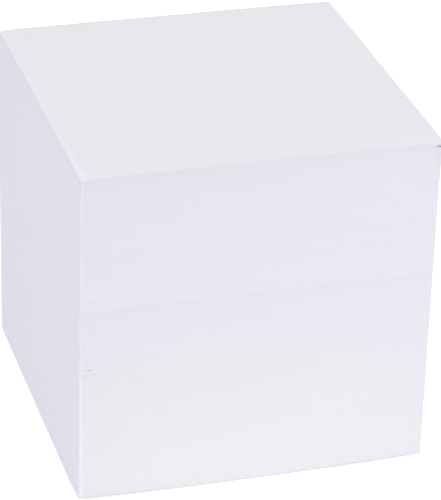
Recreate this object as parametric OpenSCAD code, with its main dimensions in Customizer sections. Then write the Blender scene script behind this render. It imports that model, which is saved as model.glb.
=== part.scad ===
// Memo cube refill: a pile of square white note sheets, glued along one side, about nine centimetres each way.
// The sheets lie flat, +Z is up and the front is at -Y. The glued side is at -X and the free side at +X.
// The origin is in the middle of the underside.

/* [Sheets] */
// Width of a sheet, from the glued side to the free side
sheet_w = 90; // [60:0.5:120]
// Depth of a sheet, from front to rear
sheet_d = 90; // [60:0.5:120]
// Thickness of one sheet
sheet_t = 0.1; // [0.08:0.005:0.15]
// Number of sheets in the pile
sheet_count = 896; // [700:1:1000]

/* [Lifts] */
// Fewest sheets in a lift, the handful that stays level when the pile is knocked up
lift_least = 5; // [4:1:12]
// Most sheets in a lift
lift_most = 22; // [14:1:40]
// Smallest step between the edges of two lifts
jog_step = 0.04; // [0.02:0.01:0.1]
// Most steps by which a lift is out of line
jog_most = 2; // [1:1:4]
// Which shuffle of the lifts is used
jog_seed = 7; // [1:1:99]

/* [Set back band] */
// Height of the band's lower edge above the underside
band_z = 51.2; // [10:0.1:52]
// Height of the band
band_h = 3.2; // [2.5:0.1:6]
// How far the sheets of the band have slid back from the front face
band_back = 0.24; // [0.12:0.02:1]

/* [Lean] */
// How far the top of the pile has slid towards the free side
lean = 0.45; // [0.1:0.05:2]
// Height of the part of the pile that has slid
lean_h = 8; // [2:0.5:20]

/* [Top leaves] */
// Number of leaves that stand off the pile at the right front corner
leaf_count = 5; // [3:1:12]
// How far these leaves have slid forward over the front face
leaf_front = 0.15; // [0.05:0.05:1]
// How far they reach past the pile at the free side
leaf_side = 0.15; // [0.05:0.05:1]
// Height of the gap under them at the corner
gap_h = 0.55; // [0.2:0.05:2]
// Length of the gap, from the corner along the diagonal
gap_length = 4; // [2:0.5:20]

/* [Nick] */
// Height of the nick in the front face above the underside
nick_z = 36.9; // [5:0.1:50]
// Length of the nick, from the glued side along the front face
nick_w = 4.5; // [1:0.5:10]
// Height of the nick's mouth at the glued side
nick_h = 0.45; // [0.2:0.05:1]
// Depth of the nick into the front face
nick_depth = 0.3; // [0.2:0.1:2]

/* [Glue] */
// Thickness of the film of padding glue
glue_t = 0.35; // [0.2:0.05:1]

/* [Hidden] */

paper_white = [0.91, 0.905, 0.935];
glue_white = [0.88, 0.88, 0.92];

stack_h = sheet_count * sheet_t;
leaf_t = leaf_count * sheet_t;
pile_h = stack_h - leaf_t;
glued_x = -sheet_w / 2;
free_x = sheet_w / 2;
front_y = -sheet_d / 2;

// How far a cut runs past the surface that it opens
run_out = 2;
// Direction of the diagonal, from the right front corner into the pile
inward = 135;

// The lifts differ in thickness, and each one's edges are moved by whole steps
lift_room = ceil(sheet_count / lift_least);
lift_sheets = rands(lift_least, lift_most, lift_room, jog_seed);
front_jog = rands(-jog_most, jog_most, lift_room, jog_seed + 1);
free_jog = rands(-jog_most, jog_most, lift_room, jog_seed + 2);
function step_of(jog) = jog_step * round(jog);

// Heights of the lifts' undersides, and last of all the top of the pile
function levels_from(z, i) = z > pile_h - sheet_t / 2
    ? [pile_h]
    : concat([z], levels_from(z + sheet_t * round(lift_sheets[i]), i + 1));
levels = levels_from(0, 0);

// How far the pile has slid to the free side at a height
function slid(z) = lean * max(0, (z - stack_h + lean_h) / lean_h);

// A lift belongs to the band if its middle lies between the band's edges
function in_band(z) = z > band_z && z < band_z + band_h;

// The glued side seen from the front, moved outwards by a distance
function glued_side(out) = [
    [glued_x - out, 0],
    [glued_x - out, stack_h - lean_h],
    [glued_x - out + lean, stack_h]
];

// Carries an outline drawn in X and Z along Y, as far behind its place as before it
module across(length) {
    translate([0, length / 2, 0])
        rotate([90, 0, 0])
            linear_extrude(length)
                children();
}

module lift(i) {
    low = levels[i];
    high = levels[i + 1];
    middle = (low + high) / 2;
    near = front_y + step_of(front_jog[i]) + (in_band(middle) ? band_back : 0);
    right = free_x + slid(middle) + step_of(free_jog[i]);
    translate([glued_x, near, low])
        cube([right - glued_x, sheet_d, high - low]);
}

module top_leaves() {
    translate([glued_x, front_y - leaf_front, pile_h])
        cube([sheet_w + lean + leaf_side, sheet_d, leaf_t]);
}

// The pile's corner is pressed down under the leaves, most at its tip and nothing at the inner end
module corner_gap() {
    tip_h = gap_h * (gap_length + run_out) / gap_length;
    translate([free_x + lean, front_y, pile_h])
        rotate([0, 0, inward])
            across(2 * (gap_length + run_out))
                polygon([[-run_out, 0], [-run_out, -tip_h], [gap_length, 0]]);
}

// A few sheets' edges are torn at the glued side, and the tear closes along the front face
module front_nick() {
    translate([glued_x, front_y, nick_z])
        across(2 * nick_depth)
            polygon([[0, -nick_h / 2], [nick_w, 0], [0, nick_h / 2]]);
}

module sheet_stack() {
    side = glued_side(0);
    beyond = glued_x - run_out;
    color(paper_white)
        difference() {
            union() {
                for (i = [0 : len(levels) - 2])
                    lift(i);
                top_leaves();
            }
            across(sheet_d + 2 * run_out)
                polygon(concat(side, [[beyond, stack_h], [beyond, 0]]));
            corner_gap();
            front_nick();
        }
}

module glue_film() {
    inner = glued_side(0);
    outer = glued_side(glue_t);
    color(glue_white)
        across(sheet_d)
            polygon(concat(outer, [inner[2], inner[1], inner[0]]));
}

sheet_stack();
glue_film();
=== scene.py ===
import bpy
import bmesh
import math
import random
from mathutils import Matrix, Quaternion, Vector
from mathutils.bvhtree import BVHTree


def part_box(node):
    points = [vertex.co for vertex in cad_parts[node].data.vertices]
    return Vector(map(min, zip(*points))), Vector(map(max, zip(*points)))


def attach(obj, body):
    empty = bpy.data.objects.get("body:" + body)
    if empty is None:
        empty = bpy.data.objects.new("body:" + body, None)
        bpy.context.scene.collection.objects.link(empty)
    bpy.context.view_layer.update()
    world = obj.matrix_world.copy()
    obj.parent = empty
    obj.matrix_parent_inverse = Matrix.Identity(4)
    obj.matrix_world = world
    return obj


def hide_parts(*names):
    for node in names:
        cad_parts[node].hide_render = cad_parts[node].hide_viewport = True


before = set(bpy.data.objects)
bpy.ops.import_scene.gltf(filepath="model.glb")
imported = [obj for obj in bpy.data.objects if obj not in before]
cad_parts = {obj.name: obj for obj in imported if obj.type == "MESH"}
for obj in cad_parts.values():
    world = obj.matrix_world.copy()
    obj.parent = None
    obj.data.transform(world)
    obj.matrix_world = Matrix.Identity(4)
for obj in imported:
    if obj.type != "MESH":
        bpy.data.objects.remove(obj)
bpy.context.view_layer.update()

mm = 0.001


def clamp(value, low=0.0, high=1.0):
    return max(low, min(high, value))


def smoothStep(value):
    t = clamp(value)
    return t * t * (3 - 2 * t)


# Materials

def newMaterial(name):
    material = bpy.data.materials.new(name)
    material.use_nodes = True
    material.node_tree.nodes.clear()
    return material, material.node_tree


def addNode(tree, kind, **values):
    node = tree.nodes.new(kind)
    for key, value in values.items():
        setattr(node, key, value)
    return node


def mathNode(tree, operation, first, second=0, clamped=False):
    node = addNode(tree, "ShaderNodeMath", operation=operation, use_clamp=clamped)
    for socket, source in zip(node.inputs, (first, second)):
        if isinstance(source, (int, float)):
            socket.default_value = source
        else:
            tree.links.new(source, socket)
    return node.outputs[0]


def noiseAt(tree, scale=1, detail=3, roughness=0.5, stretch=(1, 1, 1)):
    place = addNode(tree, "ShaderNodeTexCoord")
    mapping = addNode(tree, "ShaderNodeMapping")
    mapping.inputs["Scale"].default_value = stretch
    noise = addNode(tree, "ShaderNodeTexNoise")
    noise.inputs["Scale"].default_value = scale
    noise.inputs["Detail"].default_value = detail
    noise.inputs["Roughness"].default_value = roughness
    tree.links.new(place.outputs["Object"], mapping.inputs["Vector"])
    tree.links.new(mapping.outputs["Vector"], noise.inputs["Vector"])
    return noise.outputs["Fac"]


def mixed(tree, first, second, factor):
    # the first colour is a plain one or comes out of another node
    mix = addNode(tree, "ShaderNodeMix", data_type="RGBA")
    if isinstance(first, tuple):
        mix.inputs["A"].default_value = (*first, 1)
    else:
        tree.links.new(first, mix.inputs["A"])
    mix.inputs["B"].default_value = (*second, 1)
    tree.links.new(factor, mix.inputs["Factor"])
    return mix.outputs["Result"]


def toneOf(tree, name):
    # a tone that the mesh carries itself
    return addNode(tree, "ShaderNodeAttribute", attribute_name=name).outputs["Fac"]


def newFinish(name, look):
    material, tree = newMaterial(name)
    shader = addNode(tree, "ShaderNodeBsdfPrincipled")
    shader.inputs["Roughness"].default_value = look["roughness"]
    shader.inputs["Specular IOR Level"].default_value = look["specular"]
    output = addNode(tree, "ShaderNodeOutputMaterial")
    tree.links.new(shader.outputs["BSDF"], output.inputs["Surface"])
    return material, tree, shader


def addBump(tree, shader, height, look):
    bump = addNode(tree, "ShaderNodeBump")
    bump.inputs["Strength"].default_value = look["bumpStrength"]
    bump.inputs["Distance"].default_value = look["bumpHeight"]
    tree.links.new(height, bump.inputs["Height"])
    tree.links.new(bump.outputs["Normal"], shader.inputs["Normal"])


paperLook = {
    "light": (0.868, 0.858, 0.907),  # a clean fleck
    "dark": (0.774, 0.764, 0.811),  # what a sheet's edge falls to where it lies back
    "plain": 0.26,  # the share of dark in the plain sheet
    "roughness": 0.88,
    "specular": 0.25,
    "lines": {"stretch": (7, 7, 1300), "roughness": 0.6},  # sheet lines run long and level round the pile
    "lineStrength": 0.09,
    "fibres": {"scale": 420, "detail": 2, "roughness": 0.6},
    "fibreStrength": 0.05,
    "tooth": {"scale": 2600, "roughness": 0.6},  # grain of the uncoated face
    "bumpStrength": 0.2,
    "bumpHeight": 0.012 * mm,
    "glow": (0.893, 0.884, 0.933),  # painted highlight, the top sheet's borders painted lighter
    "shade": (0.45, 0.44, 0.47),  # painted shadow inside the open corner, and what the painted shade on the top sheet's edges leans to
}


def makePaper():
    look = paperLook
    paper, tree, shader = newFinish("note_paper", look)
    # cut edges show their lines, the sheet's own face doesn't
    geometry = addNode(tree, "ShaderNodeNewGeometry")
    facing = addNode(tree, "ShaderNodeSeparateXYZ")
    tree.links.new(geometry.outputs["True Normal"], facing.inputs["Vector"])
    level = mathNode(tree, "ABSOLUTE", facing.outputs["Z"])
    onEdge = mathNode(tree, "SUBTRACT", 1, level, clamped=True)
    lines = mathNode(tree, "SUBTRACT", noiseAt(tree, **look["lines"]), 0.5)  # half of it lightens
    lines = mathNode(tree, "MULTIPLY", lines, look["lineStrength"])
    edgeDark = mathNode(tree, "ADD", lines, toneOf(tree, "sheetTone"))
    edgeDark = mathNode(tree, "MULTIPLY", edgeDark, onEdge)
    fibres = mathNode(tree, "MULTIPLY", noiseAt(tree, **look["fibres"]), look["fibreStrength"])
    faceDark = mathNode(tree, "ADD", fibres, look["plain"])
    darkness = mathNode(tree, "ADD", edgeDark, faceDark, clamped=True)
    body = mixed(tree, look["light"], look["dark"], darkness)
    # a painted highlight along the top sheet's borders, on up-facing faces only
    onFace = mathNode(tree, "MULTIPLY", toneOf(tree, "paintedHighlight"), level)
    body = mixed(tree, body, look["glow"], onFace)
    # painted shadow inside the open corner and painted shade along the top sheet's edges
    body = mixed(tree, body, look["shade"], toneOf(tree, "paintedShade"))
    tree.links.new(body, shader.inputs["Base Color"])
    addBump(tree, shader, noiseAt(tree, **look["tooth"]), look)
    return paper


glueLook = {
    "light": (0.814, 0.804, 0.880),
    "dark": (0.795, 0.785, 0.862),
    "rim": (0.880, 0.873, 0.917),  # painted highlight, the glue painted lighter along its border
    "shaded": (0.741, 0.732, 0.801),  # painted shade, below the top edge and along the rear edge
    "roughness": 0.55,
    "specular": 0.12,
    "brushed": {"stretch": (30, 30, 260)},  # brushed on along the pile, front to rear
    "bumpStrength": 0.2,
    "bumpHeight": 0.02 * mm,
}


def makeGlue():
    look = glueLook
    glue, tree, shader = newFinish("padding_glue", look)
    brushed = noiseAt(tree, **look["brushed"])
    body = mixed(tree, look["light"], look["dark"], brushed)
    # painted shade below the top edge and along the rear edge
    body = mixed(tree, body, look["shaded"], toneOf(tree, "shadedTone"))
    # painted highlight along the film's border
    body = mixed(tree, body, look["rim"], toneOf(tree, "rimHighlight"))
    tree.links.new(body, shader.inputs["Base Color"])
    addBump(tree, shader, brushed, look)
    return glue


# The pile of sheets, each one a closed slab of its own

pile = {
    "sheet": 0.1 * mm,
    "air": 0.006 * mm,  # between two sheets
    "leaves": 5,  # these stand off the pile at the right front corner
    "drift": 0.008 * mm,  # how far single sheets are out of line
    "driftKept": 0.6,  # the share that a sheet takes over from the one below
    "evenOver": 9,  # a jog in the cut is spread over this many sheets up and down
    "wideOver": 60,  # and pressed towards the line of this many
    "jogShare": 0.22,
    "wave": 0.05 * mm,  # the sheets rise and fall a little along an edge
    "waveAcross": (62, 11, 0),  # radians a metre, from the bottom to the top, and at the start
    "waveBack": (55, 7, 1),
    # where a sheet has its points, as shares of a side
    "footStops": (0, 0.08, 0.17, 0.27, 0.38, 0.5, 0.62, 0.73, 0.83, 0.92),
    "lowerStops": (0, 0.25, 0.5, 0.75),
    "upperStops": (0, 0.01, 0.025, 0.05, 0.09, 0.14, 0.25, 0.5,
                   0.75, 0.86, 0.91, 0.95, 0.968, 0.976, 0.984, 0.992),
    "leafStops": (0, 0.003, 0.007, 0.012, 0.018, 0.026, 0.036, 0.05,
                  0.07, 0.09, 0.115, 0.14, 0.18, 0.25, 0.375, 0.5),  # and the same from the other end
    "fineSheets": 8,  # the top ones are a fine grid and curl smoothly
    "pressedHeight": 10 * mm,  # the corners and edges are pressed down to this depth
    "raisedHeight": 18 * mm,  # and up to this height they are pushed up from below
    "ring": 13 * mm,  # width of the border that follows the pressed corners
    "roll": 0.10 * mm,  # the shears drag the top edges down
    "rollWidth": 4 * mm,
    "glowWidth": 6 * mm,  # painted highlight along the top sheet's front border
    "glow": (0.15, 0.45),  # in the middle and at the corners
    "sideGlowWidth": 1.6 * mm,  # and along its border by the glue
    "sideGlow": (0.20, 0.90),  # at the rear and at the front
    "edgeShadeWidth": 1.4 * mm,  # the very edges in front and at the back are painted a little grey, a painted shade
    "edgeShade": 0.07,
    "toneDrift": 0.05,  # how far single sheets differ in tone
    "toneKept": 0.5,
    "toneShare": 0.71,  # how much of all tones shows in the cut
    "topTone": ((0.16, 3 * mm), (0.36, 9 * mm)),  # the uppermost edges are darker, fading out downwards
    "seed": 41,
}

# Each corner is pressed down by a depth that dies away along the diagonal
pressedCorners = [
    {"side": (1, -1), "drop": 0.26 * mm, "length": 10 * mm},
    {"side": (-1, -1), "drop": 0.30 * mm, "length": 10 * mm},
    {"side": (1, 1), "drop": 0.18 * mm, "length": 9 * mm},
    {"side": (-1, 1), "drop": 0.12 * mm, "length": 8 * mm},
]

# The underside bows, so its corners stand a little off the table
raisedCorners = [
    {"side": (-1, -1), "rise": 0.80 * mm, "alongFront": 45 * mm, "alongSide": 25 * mm},
    {"side": (1, -1), "rise": 0.85 * mm, "alongFront": 45 * mm, "alongSide": 25 * mm},
    {"side": (-1, 1), "rise": 0.20 * mm, "alongFront": 20 * mm, "alongSide": 20 * mm},
    {"side": (1, 1), "rise": 0.20 * mm, "alongFront": 20 * mm, "alongSide": 20 * mm},
]

# Below the leaves the right front corner of the pile opens a little
cornerGap = {
    "open": 0.66 * mm,
    "alongFront": 2.4 * mm,
    "alongSide": 6 * mm,
    "fade": 1.3,  # how fast it closes away from the corner
    "leafShares": (0.22, 0.06, 0.02, 0, 0),  # from the lowest leaf up
    "pileShares": (0.94, 0.97, 0.99),  # from the top of the pile down
    "darkFrom": 0.2 * mm,  # where the gap is this high its inside is painted fully dark, a painted shadow
}

# Marks in the front face, in mm: from the glued side, up, half length, half height and depth, and their tone.
# With a minus sign a mark stands proud, or its tone is lighter. The tones are mostly painted shade in dents
# and painted highlight on proud marks.
frontNicks = [
    {"x": 2.3, "z": 37.5, "half": 1.0, "tall": 0.14, "depth": 0.26, "tone": 0},
    {"x": 3.7, "z": 36.3, "half": 0.9, "tall": 0.14, "depth": 0.20, "tone": 0},
    {"x": 1.4, "z": 36.1, "half": 0.8, "tall": 0.11, "depth": 0.16, "tone": 0},
    {"x": 13.1, "z": 26.3, "half": 0.7, "tall": 0.21, "depth": 0.10, "tone": 0.35},
    {"x": 20.8, "z": 54.9, "half": 0.6, "tall": 0.26, "depth": -0.06, "tone": -0.6},
    {"x": 71.2, "z": 62.7, "half": 0.4, "tall": 0.31, "depth": 0.10, "tone": 0.3},
    {"x": 72.2, "z": 62.3, "half": 0.4, "tall": 0.21, "depth": -0.05, "tone": -0.5},
    {"x": 75.8, "z": 54.3, "half": 1.1, "tall": 0.11, "depth": 0.10, "tone": 0.3},
    {"x": 28.4, "z": 78.9, "half": 0.8, "tall": 0.11, "depth": 0.08, "tone": 0.2},
    {"x": 54.7, "z": 12.2, "half": 0.8, "tall": 0.16, "depth": -0.05, "tone": -0.5},
    {"x": 56.6, "z": 13.0, "half": 0.8, "tall": 0.11, "depth": 0.05, "tone": -0.4},
    {"x": 59.2, "z": 13.9, "half": 0.6, "tall": 0.16, "depth": 0.10, "tone": 0.4},
]

nickStops = (-1, -0.5, 0, 0.5, 1)  # a mark's own points, in half lengths
nickBehind = 1 * mm  # its tone ends this far behind the front

# Soft bands in the cut, where a set of sheets is a little greyer, in mm above the table
softBands = [
    {"z": 53.4, "half": 1.6, "tone": 0.11},
    {"z": 52.4, "half": 2.4, "tone": 0.11},
    {"z": 48.0, "half": 1.0, "tone": 0.04},
    {"z": 17.0, "half": 2.2, "tone": 0.09},
    {"z": 13.5, "half": 8.0, "tone": 0.11},
    {"z": 62.5, "half": 1.5, "tone": 0.03},
    {"z": 0.0, "half": 0.8, "tone": 0.8},  # painted contact shadow, the undermost sheets painted darker along the foot
]

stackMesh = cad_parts["sheet_stack"].data
stackPoints = [vert.co for vert in stackMesh.vertices]
stackTree = BVHTree.FromPolygons(stackPoints, [face.vertices for face in stackMesh.polygons])
stackLow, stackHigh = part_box("sheet_stack")
filmLow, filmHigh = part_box("glue_film")
sheetCount = round((stackHigh.z - stackLow.z) / pile["sheet"])
pileCount = sheetCount - pile["leaves"]


def edgeOfPile(height, direction):
    # a ray from outside finds where the built pile's face stands at this height
    return stackTree.ray_cast(Vector((0, 0, height)) - direction, direction)[0]


def sheetEdges(index):
    height = (index + 0.5) * pile["sheet"]
    left = edgeOfPile(height, Vector((1, 0, 0))).x
    right = edgeOfPile(height, Vector((-1, 0, 0))).x
    front = edgeOfPile(height, Vector((0, 1, 0))).y
    rear = edgeOfPile(height, Vector((0, -1, 0))).y
    return left, right, front, rear


builtEdges = [sheetEdges(index) for index in range(sheetCount)]


def evenEdges(index):
    # the left side is trued up by the glue, the leaves stay as they are
    if index >= pileCount:
        return builtEdges[index]
    near = builtEdges[max(0, index - pile["evenOver"]):min(pileCount, index + pile["evenOver"] + 1)]
    wide = builtEdges[max(0, index - pile["wideOver"]):min(pileCount, index + pile["wideOver"] + 1)]
    even = [builtEdges[index][0]]
    for side in (1, 2, 3):
        here = sum(edges[side] for edges in near) / len(near)
        around = sum(edges[side] for edges in wide) / len(wide)
        even.append(around + (here - around) * pile["jogShare"])
    return even


def cornerOpen(x, y, right, front):
    away = (right - x) / cornerGap["alongFront"] + (y - front) / cornerGap["alongSide"]
    return cornerGap["open"] * max(0, 1 - away) ** cornerGap["fade"]


def fromCorner(x, y, edges, side):
    # how far a point lies from a corner, across and back
    left, right, front, rear = edges
    return (right - x if side[0] > 0 else x - left), (rear - y if side[1] > 0 else y - front)


def raisedBy(x, y, edges):
    rise = 0
    for corner in raisedCorners:
        inX, inY = fromCorner(x, y, edges, corner["side"])
        share = max(0, 1 - inX / corner["alongFront"]) * max(0, 1 - inY / corner["alongSide"])
        rise += corner["rise"] * share ** 2
    return rise


def waveOf(place, share, wave):
    turn, climb, start = wave
    return math.sin(place * turn + share * climb + start)


def wavedBy(x, y, z):
    # nothing at the foot and the top, and most half way up
    share = z / stackHigh.z
    bulk = 4 * share * (1 - share)
    return waveOf(x, share, pile["waveAcross"]) * waveOf(y, share, pile["waveBack"]) * pile["wave"] * bulk


def settled(x, y, z, edges, opening):
    # where a point of a flat, square pile comes to lie
    left, right, front, rear = edges
    drop = 0
    for corner in pressedCorners:
        away = sum(fromCorner(x, y, edges, corner["side"])) / math.sqrt(2) / corner["length"]
        drop += corner["drop"] * max(0, 1 - away) ** 2
    fromEdge = min(right - x, y - front, rear - y)
    drop += pile["roll"] * max(0, 1 - fromEdge / pile["rollWidth"]) ** 2
    drop += opening * cornerOpen(x, y, right, front)
    depth = smoothStep((z - stackHigh.z + pile["pressedHeight"]) / pile["pressedHeight"])
    rise = raisedBy(x, y, edges) * smoothStep(1 - z / pile["raisedHeight"])
    return z - drop * depth + rise + wavedBy(x, y, z)


def nicksNear(z):
    return [nick for nick in frontNicks if abs(z - nick["z"] * mm) < nick["tall"] * mm]


def frontPoints(z, edges, stops):
    # a nick brings its own points and pushes the edge in or out
    left, right, front, rear = edges
    nicks = nicksNear(z)
    places = set(stops)
    for nick in nicks:
        for part in nickStops:
            places.add((nick["x"] + part * nick["half"]) * mm / (right - left))
    points = []
    for place in sorted(p for p in places if 0 <= p < 1):
        x = left + (right - left) * place
        moved = 0
        for nick in nicks:
            reach = 1 - abs(x - left - nick["x"] * mm) / (nick["half"] * mm)
            moved += nick["depth"] * mm * smoothStep(reach)
        points.append((x, max(stackLow.y, front + moved)))
    return points


def outlineOf(z, edges, stops):
    left, right, front, rear = edges
    points = frontPoints(z, edges, stops)
    points += [(right, front + (rear - front) * stop) for stop in stops]
    points += [(right - (right - left) * stop, rear) for stop in stops]
    points += [(left, rear - (rear - front) * stop) for stop in stops]
    return points


def middleOf(edges):
    left, right, front, rear = edges
    return (left + right) / 2, (front + rear) / 2


def innerOutline(outline, edges):
    left, right, front, rear = edges
    inX = 1 - 2 * pile["ring"] / (right - left)
    inY = 1 - 2 * pile["ring"] / (rear - front)
    midX, midY = middleOf(edges)
    return [(midX + (x - midX) * inX, midY + (y - midY) * inY) for x, y in outline]


def addPoints(mesh, places, z, edges, opening):
    return [mesh.verts.new((x, y, settled(x, y, z, edges, opening))) for x, y in places]


def addCap(mesh, rim, z, edges, opening):
    # closes a sheet with a fan of faces round its middle
    hub = addPoints(mesh, [middleOf(edges)], z, edges, opening)[0]
    return [mesh.faces.new((a, b, hub)) for a, b in zip(rim, rim[1:] + rim[:1])]


def addSheet(mesh, low, high, edges, opening):
    isUpper = high > stackHigh.z - pile["pressedHeight"]
    stops = pile["footStops"] if low < pile["raisedHeight"] else pile["lowerStops"]
    outline = outlineOf((low + high) / 2, edges, pile["upperStops"] if isUpper else stops)
    lower = addPoints(mesh, outline, low, edges, opening)
    upper = addPoints(mesh, outline, high, edges, opening)
    count = len(outline)
    steps = [(i, (i + 1) % count) for i in range(count)]
    faces = [mesh.faces.new((lower[i], lower[j], upper[j], upper[i])) for i, j in steps]
    if isUpper:
        inner = innerOutline(outline, edges)
        lowInner = addPoints(mesh, inner, low, edges, opening)
        highInner = addPoints(mesh, inner, high, edges, opening)
        faces += [mesh.faces.new((lower[j], lower[i], lowInner[i], lowInner[j])) for i, j in steps]
        faces += [mesh.faces.new((upper[i], upper[j], highInner[j], highInner[i])) for i, j in steps]
        lower, upper = lowInner, highInner
    faces += addCap(mesh, lower[::-1], low, edges, opening)
    return faces + addCap(mesh, upper, high, edges, opening)


def borderTones(x, y, edges):
    # how strong the painted highlight is along the top sheet's borders, and how strong the painted shade is
    # along its front and rear edges
    left, right, front, rear = edges
    toCorner = (2 * (x - left) / (right - left) - 1) ** 2
    inMiddle, atCorner = pile["glow"]
    atRear, atFront = pile["sideGlow"]
    glow = (inMiddle + (atCorner - inMiddle) * toCorner) * max(0, 1 - (y - front) / pile["glowWidth"])
    side = atRear + (atFront - atRear) * ((rear - y) / (rear - front)) ** 2
    glow += side * max(0, 1 - (x - left) / pile["sideGlowWidth"])
    inFront = (1 - toCorner) * max(0, 1 - (y - front) / pile["edgeShadeWidth"])
    atBack = max(0, 1 - (rear - y) / pile["edgeShadeWidth"])
    return clamp(glow), pile["edgeShade"] * max(inFront, atBack)


def addFineSheet(mesh, layers, low, high, edges, opening, gapAbove):
    left, right, front, rear = edges
    stops = sorted(set(pile["leafStops"]) | {1 - stop for stop in pile["leafStops"]})
    last = len(stops) - 1
    isTop = high > stackHigh.z - pile["sheet"] / 2
    under, over = [], []
    for stopY in stops:
        y = front + (rear - front) * stopY
        places = [(left + (right - left) * stopX, y) for stopX in stops]
        under.append(addPoints(mesh, places, low, edges, opening))
        over.append(addPoints(mesh, places, high, edges, opening))
        for vert, (x, y) in zip(over[-1], places):
            # painted highlight on the top sheet's borders
            glow, edgeShade = borderTones(x, y, edges)
            vert[layers["paintedHighlight"]] = glow
            # the sheets inside the open corner are painted dark as painted shadow, the top sheet painted grey
            # along its edges as painted shade
            inGap = gapAbove * cornerOpen(x, y, right, front) / cornerGap["darkFrom"]
            vert[layers["paintedShade"]] = edgeShade if isTop else clamp(inGap)
    faces = []
    for i in range(last):
        for j in range(last):
            faces.append(mesh.faces.new((over[i][j], over[i][j + 1], over[i + 1][j + 1], over[i + 1][j])))
            faces.append(mesh.faces.new((under[i + 1][j], under[i + 1][j + 1], under[i][j + 1], under[i][j])))
    rim = [(0, j) for j in range(last)] + [(i, last) for i in range(last)]
    rim += [(last, j) for j in range(last, 0, -1)] + [(i, 0) for i in range(last, 0, -1)]
    for (a, b), (c, d) in zip(rim, rim[1:] + rim[:1]):
        faces.append(mesh.faces.new((under[a][b], under[c][d], over[c][d], over[a][b])))
    return faces


def openingOf(index):
    if index >= pileCount:
        return cornerGap["leafShares"][index - pileCount]
    below = pileCount - 1 - index
    return cornerGap["pileShares"][below] if below < len(cornerGap["pileShares"]) else 1


def bandTone(z):
    tone = sum(share * math.exp((z - stackHigh.z) / height) for share, height in pile["topTone"])
    for band in softBands:
        tone += band["tone"] * smoothStep(1 - abs(z / mm - band["z"]) / band["half"])
    return tone


sharpFrom = math.radians(25)  # an edge that turns more than this stays sharp


def addToScene(thing):
    bpy.context.scene.collection.objects.link(thing)


def finishMesh(mesh, name, material):
    data = bpy.data.meshes.new(name)
    mesh.normal_update()
    mesh.to_mesh(data)
    mesh.free()
    data.polygons.foreach_set("use_smooth", [True] * len(data.polygons))
    data.set_sharp_from_angle(angle=sharpFrom)
    data.materials.append(material)
    piece = bpy.data.objects.new(name, data)
    addToScene(piece)
    return piece


def makeSheets():
    chance = random.Random(pile["seed"])
    mesh = bmesh.new()
    toneLayer = mesh.faces.layers.float.new("sheetTone")
    layers = {name: mesh.verts.layers.float.new(name) for name in ("paintedHighlight", "paintedShade")}
    offset = tone = 0
    for index in range(sheetCount):
        low = index * pile["sheet"] + (pile["air"] / 2 if index else 0)
        high = (index + 1) * pile["sheet"] - (pile["air"] / 2 if index < sheetCount - 1 else 0)
        offset = pile["driftKept"] * offset + chance.uniform(-1, 1) * pile["drift"]
        tone = pile["toneKept"] * tone + chance.uniform(-1, 1) * pile["toneDrift"]
        left, right, front, rear = evenEdges(index)
        nudge = abs(offset) if index >= pileCount else offset
        edges = (left, right - abs(offset), front + nudge, rear + min(nudge, 0))
        opening = openingOf(index)
        if index >= sheetCount - pile["fineSheets"]:
            gapAbove = opening - openingOf(index + 1) if index < sheetCount - 1 else 0
            faces = addFineSheet(mesh, layers, low, high, edges, opening, gapAbove)
        else:
            faces = addSheet(mesh, low, high, edges, opening)
        middle = (low + high) / 2
        for face in faces:
            face[toneLayer] = (tone + bandTone(middle)) * pile["toneShare"]
        # a nick's tone darkens dents and lightens proud marks, as painted shade and painted highlight
        for nick in nicksNear(middle):
            for face in faces:
                centre = face.calc_center_median()
                fromNick = abs(centre.x - edges[0] - nick["x"] * mm)
                if centre.y < edges[2] + nickBehind and fromNick < nick["half"] * mm:
                    face[toneLayer] += nick["tone"]
    return finishMesh(mesh, "note_sheets", makePaper())


sheets = makeSheets()
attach(sheets, "root")
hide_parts("sheet_stack")
print("sheets made:", sheetCount, "with", len(sheets.data.polygons), "faces")


# The film of padding glue on the left side

glueTongue = {
    "z": 36.9 * mm,  # it has seeped out along the front nick
    "half": 0.40 * mm,
    "reach": 1.4 * mm,
    "rows": (-1, -0.6, -0.3, 0, 0.3, 0.6, 1),  # its own rows of points, in half heights
}

film = {
    "rows": 72,  # up the side
    "columns": 36,  # front to rear
    "thickness": 0.35 * mm,
    "endShare": 0.7,  # of the thickness, along the top and bottom
    "rim": 0.5 * mm,  # it rounds off over this width
    "rimStops": (0, 0.05 * mm, 0.15 * mm, 0.3 * mm, 0.5 * mm, 1.0 * mm),
    "edgeRound": 0.15 * mm,  # at the front and rear it turns a sharper corner
    "lip": 0.20 * mm,  # and wraps this far round the sheets' edges
    "lipLow": 0.80 * mm,  # or as far as this, low down where it has run
    "lipRise": 50 * mm,  # the wide stretch ends at this height
    "lipProud": 0.10 * mm,
    "lipEnd": 0.02 * mm,
    "lipTone": 0.5,  # the painted rim highlight is at half strength there
    "leafLip": 0.02 * mm,  # it doesn't wrap round the leaves that stand forward
    "bend": 6,  # points round each edge
    "ripple": 0.02 * mm,
    "rippleTurns": (190, 60),  # radians a metre, front to rear and up
    "rippleDrift": 0.5,  # how far single rows differ
    "seam": 1.3 * mm,  # below the top edge a line of painted shade
    "seamHalf": 1.2 * mm,
    "seamShaded": 0.35,
    "rearShaded": 0.6,  # and stronger painted shade along the rear edge
    "hair": 0.01 * mm,  # keeps clear of an edge
    "seed": 5,
}


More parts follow.
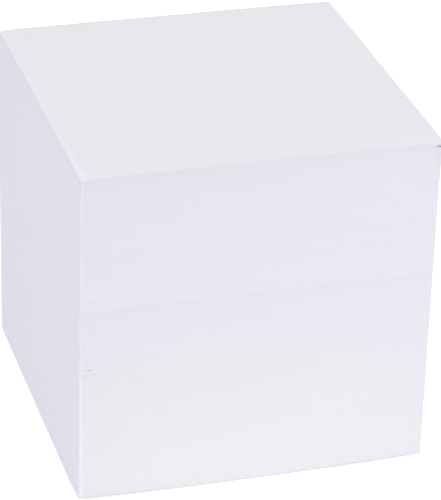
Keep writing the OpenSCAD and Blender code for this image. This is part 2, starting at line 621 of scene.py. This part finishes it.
def bendPoints(left, edgeY, outward, thick, lip):
    # round one edge, from the lip to the side: outer x and y, inner x and y, nearness to the rim
    turnIn = film["edgeRound"]
    points = [(left + lip, edgeY + outward * film["lipEnd"], left + lip, edgeY, film["lipTone"])]
    for k in range(film["bend"] + 1):
        share = k / film["bend"]
        turn = share * math.pi / 2
        x = left + lip / 2 - (thick + lip / 2) * math.sin(turn)
        y = edgeY + outward * (film["lipProud"] * math.cos(turn) - turnIn * (1 - math.cos(turn)))
        innerX = left + lip / 2 * max(0, 1 - 2 * share)
        innerY = edgeY - outward * turnIn * max(0, 2 * share - 1)
        points.append((x, y, innerX, innerY, (1 - share) ** 2))
    return points


def filmPoints(left, front, rear, z, thick, lip, ripple, level):
    back, up = film["rippleTurns"]
    points = bendPoints(left, front, -1, thick, lip)
    for k in range(1, film["columns"]):
        y = front + (rear - front) * k / film["columns"]
        x = left - thick + ripple * abs(level + math.sin(y * back + z * up) / 2)
        points.append((x, y, left, y, 0))
    return points + bendPoints(left, rear, 1, thick, lip)[::-1]


def filmRows(height):
    # how far up the rows of points lie, closest at the two ends and round the tongue
    rows = [height * k / film["rows"] for k in range(1, film["rows"])]
    rows += [glueTongue["z"] - filmLow.z + part * glueTongue["half"] for part in glueTongue["rows"]]
    return sorted([*film["rimStops"], *rows, *(height - stop for stop in film["rimStops"])])


def lipAt(z):
    lip = film["lip"] + (film["lipLow"] - film["lip"]) * smoothStep(1 - z / film["lipRise"])
    return lip + glueTongue["reach"] * smoothStep(1 - abs(z - glueTongue["z"]) / glueTongue["half"])


def makeFilm():
    chance = random.Random(film["seed"])
    mesh = bmesh.new()
    rimHighlightLayer = mesh.verts.layers.float.new("rimHighlight")
    shadedLayer = mesh.verts.layers.float.new("shadedTone")
    height = filmHigh.z - filmLow.z
    leafBase = stackHigh.z - (pile["leaves"] + 0.5) * pile["sheet"]
    leafFront, leafRear = builtEdges[-1][2:]
    skins = []
    for up in filmRows(height):
        z = filmLow.z + up
        left = edgeOfPile(clamp(z, film["hair"], filmHigh.z - film["hair"]), Vector((1, 0, 0))).x
        front, rear = filmLow.y, filmHigh.y
        if z > leafBase:
            front, rear = leafFront + film["lipProud"], leafRear - film["lipProud"]
        edges = (left, stackHigh.x, front, rear)
        toEnd = clamp(min(up, height - up) / film["rim"])
        rounding = math.sqrt(1 - (1 - toEnd) ** 2)
        thick = film["thickness"] * (film["endShare"] + (1 - film["endShare"]) * rounding)
        lip = film["leafLip"] if z > leafBase else lipAt(z)
        level = chance.uniform(-film["rippleDrift"], film["rippleDrift"])
        points = filmPoints(left, front, rear, z, thick, lip, film["ripple"] * toEnd, level)
        seam = film["seamShaded"] * smoothStep(1 - abs(height - up - film["seam"]) / film["seamHalf"])
        outer, inner = [], []
        for x, y, innerX, innerY, nearRim in points:
            # both sides of the film settle as the sheet beside them does
            lift = settled(max(innerX, left), innerY, z, edges, 0)
            for skin, place in ((outer, (x, y, lift)), (inner, (innerX, innerY, lift))):
                vert = mesh.verts.new(place)
                # painted highlight along the film's front and rear edges and its top and bottom ends
                vert[rimHighlightLayer] = max(nearRim, 1 - smoothStep(toEnd))
                # painted shade below the top edge and along the rear edge
                atRear = y > rear - film["edgeRound"] - film["hair"]
                vert[shadedLayer] = film["rearShaded"] if atRear else seam
                skin.append(vert)
        skins.append((outer, inner))
    last = len(skins[0][0]) - 1
    for (outer, inner), (outerUp, innerUp) in zip(skins, skins[1:]):
        for i in range(last):
            mesh.faces.new((outer[i + 1], outer[i], outerUp[i], outerUp[i + 1]))
            mesh.faces.new((inner[i], inner[i + 1], innerUp[i + 1], innerUp[i]))
        mesh.faces.new((outer[0], inner[0], innerUp[0], outerUp[0]))
        mesh.faces.new((inner[last], outer[last], outerUp[last], innerUp[last]))
    for outer, inner in (skins[0], skins[-1]):
        for i in range(last):
            mesh.faces.new((outer[i], outer[i + 1], inner[i + 1], inner[i]))
    bmesh.ops.recalc_face_normals(mesh, faces=mesh.faces[:])
    return finishMesh(mesh, "padding_glue", makeGlue())


glueFilm = makeFilm()
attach(glueFilm, "root")
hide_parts("glue_film")
print("glue film made with", len(glueFilm.data.polygons), "faces")


# Floor, backdrop and light

studio = {
    "floorSide": 6.0,
    "floorSquares": 4,
    "floorColour": (0.88, 0.88, 0.88),
    "floorSeen": (0.45, 0.45, 0.45),  # the eye sees it darker but aglow, white with a soft shadow
    "floorGlow": 0.75,
    "horizonColour": (0.903, 0.911, 1.002),
    "zenithColour": (0.953, 0.950, 0.893),
    "skySeen": (1, 1, 1),
}


def seenByEye(tree):
    # 1 for rays from the camera, mirrors and glass, 0 for the rays that carry light
    path = addNode(tree, "ShaderNodeLightPath")
    seen = mathNode(tree, "ADD", path.outputs["Is Camera Ray"], path.outputs["Is Glossy Ray"], clamped=True)
    return mathNode(tree, "ADD", seen, path.outputs["Is Transmission Ray"], clamped=True)


def joinByEye(tree, lighting, seen, outputKind):
    # the first shader meets the rays that carry light, the second is what the eye sees
    mix = addNode(tree, "ShaderNodeMixShader")
    output = addNode(tree, outputKind)
    tree.links.new(seenByEye(tree), mix.inputs["Fac"])
    tree.links.new(lighting.outputs[0], mix.inputs[1])
    tree.links.new(seen.outputs[0], mix.inputs[2])
    tree.links.new(mix.outputs[0], output.inputs["Surface"])


def makeFloor():
    half = studio["floorSide"] / 2
    mesh = bmesh.new()
    squares = studio["floorSquares"]
    bmesh.ops.create_grid(mesh, x_segments=squares, y_segments=squares, size=half)
    material, tree = newMaterial("studio_floor")
    plain = addNode(tree, "ShaderNodeBsdfDiffuse")
    plain.inputs["Color"].default_value = (*studio["floorColour"], 1)
    shadowed = addNode(tree, "ShaderNodeBsdfDiffuse")
    shadowed.inputs["Color"].default_value = (*studio["floorSeen"], 1)
    glow = addNode(tree, "ShaderNodeEmission")
    glow.inputs["Strength"].default_value = studio["floorGlow"]
    both = addNode(tree, "ShaderNodeAddShader")
    tree.links.new(shadowed.outputs[0], both.inputs[0])
    tree.links.new(glow.outputs[0], both.inputs[1])
    joinByEye(tree, plain, both, "ShaderNodeOutputMaterial")
    return finishMesh(mesh, "floor", material)


def makeSky():
    world = bpy.data.worlds.new("studio_sky")
    bpy.context.scene.world = world
    world.use_nodes = True
    tree = world.node_tree
    tree.nodes.clear()
    direction = addNode(tree, "ShaderNodeTexCoord")
    height = addNode(tree, "ShaderNodeSeparateXYZ")
    tree.links.new(direction.outputs["Generated"], height.inputs["Vector"])
    light = addNode(tree, "ShaderNodeBackground")
    skyColour = mixed(tree, studio["horizonColour"], studio["zenithColour"], height.outputs["Z"])
    tree.links.new(skyColour, light.inputs["Color"])
    white = addNode(tree, "ShaderNodeBackground")
    white.inputs["Color"].default_value = (*studio["skySeen"], 1)
    joinByEye(tree, light, white, "ShaderNodeOutputWorld")


def addLamp(name, place, aim, size, power, colour):
    lamp = bpy.data.lights.new(name, "AREA")
    lamp.shape = "RECTANGLE"
    lamp.size, lamp.size_y = size
    lamp.energy = power
    lamp.color = colour
    holder = bpy.data.objects.new(name, lamp)
    holder.location = place
    holder.rotation_euler = (Vector(aim) - Vector(place)).to_track_quat("-Z", "Y").to_euler()
    holder.visible_camera = False
    addToScene(holder)


# One soft box in front, and small cards close by that fill in what it leaves dark
lamps = [
    {"name": "front_box", "place": (0.35, -0.45, 0.18), "aim": (0, 0, 0.04), "size": (0.30, 0.25),
     "power": 0.465, "colour": (0.866, 0.802, 0.956)},
    {"name": "low_card", "place": (-0.002, -0.081, 0.004), "aim": (-0.002, -0.045, 0), "size": (0.104, 0.004),
     "power": 0.0022, "colour": (0.87, 0.99, 0.47)},
    {"name": "foot_card", "place": (0, -0.060, 0.002), "aim": (0, -0.045, 0), "size": (0.100, 0.002),
     "power": 0.00026, "colour": (0.98, 0.83, 1.0)},
    {"name": "side_card", "place": (-0.20, -0.03, 0.06), "aim": (-0.045, -0.03, 0.06), "size": (0.10, 0.06),
     "power": 0.0055, "colour": (0.62, 0.82, 1.0)},
    {"name": "side_strip", "place": (-0.085, -0.036, 0.050), "aim": (-0.045, -0.038, 0.050),
     "size": (0.006, 0.080), "power": 0.00027, "colour": (0.90, 1.0, 0.95)},
    {"name": "low_side", "place": (-0.081, -0.01, 0.004), "aim": (-0.045, -0.01, 0), "size": (0.10, 0.004),
     "power": 0.00032, "colour": (0.86, 1.0, 0.92)},
    {"name": "side_foot", "place": (-0.060, 0, 0.002), "aim": (-0.045, 0, 0), "size": (0.088, 0.002),
     "power": 0.00013, "colour": (1.0, 0.95, 0.50)},
]

floor = makeFloor()
makeSky()
for lamp in lamps:
    addLamp(**lamp)
print("studio set with", len(lamps), "lamps")


# Camera: a long lens, a little left of the block and above it, with a slight tilt

shot = {
    "azimuth": -17.03,
    "elevation": 27.97,
    "roll": 1.754,
    "distance": 716.5 * mm,
    "target": (3.47 * mm, 0, 41.75 * mm),
    "lens": 198.24,
    "sensor": 36,
    "clip": (0.01, 50),
}


def makeCamera():
    camera = bpy.data.cameras.new("camera")
    camera.sensor_width = shot["sensor"]
    camera.lens = shot["lens"]
    turn, lift = math.radians(shot["azimuth"]), math.radians(shot["elevation"])
    back = Vector((math.sin(turn) * math.cos(lift), -math.cos(turn) * math.cos(lift), math.sin(lift)))
    holder = bpy.data.objects.new("camera", camera)
    holder.location = Vector(shot["target"]) + back * shot["distance"]
    holder.rotation_mode = "QUATERNION"
    tilt = Quaternion((0, 0, 1), math.radians(shot["roll"]))
    holder.rotation_quaternion = back.to_track_quat("Z", "Y") @ tilt
    camera.clip_start, camera.clip_end = shot["clip"]
    addToScene(holder)
    bpy.context.scene.camera = holder


makeCamera()
print("camera set", round(shot["distance"] / mm), "mm away")
bpy.context.scene.view_settings.view_transform = "Standard"
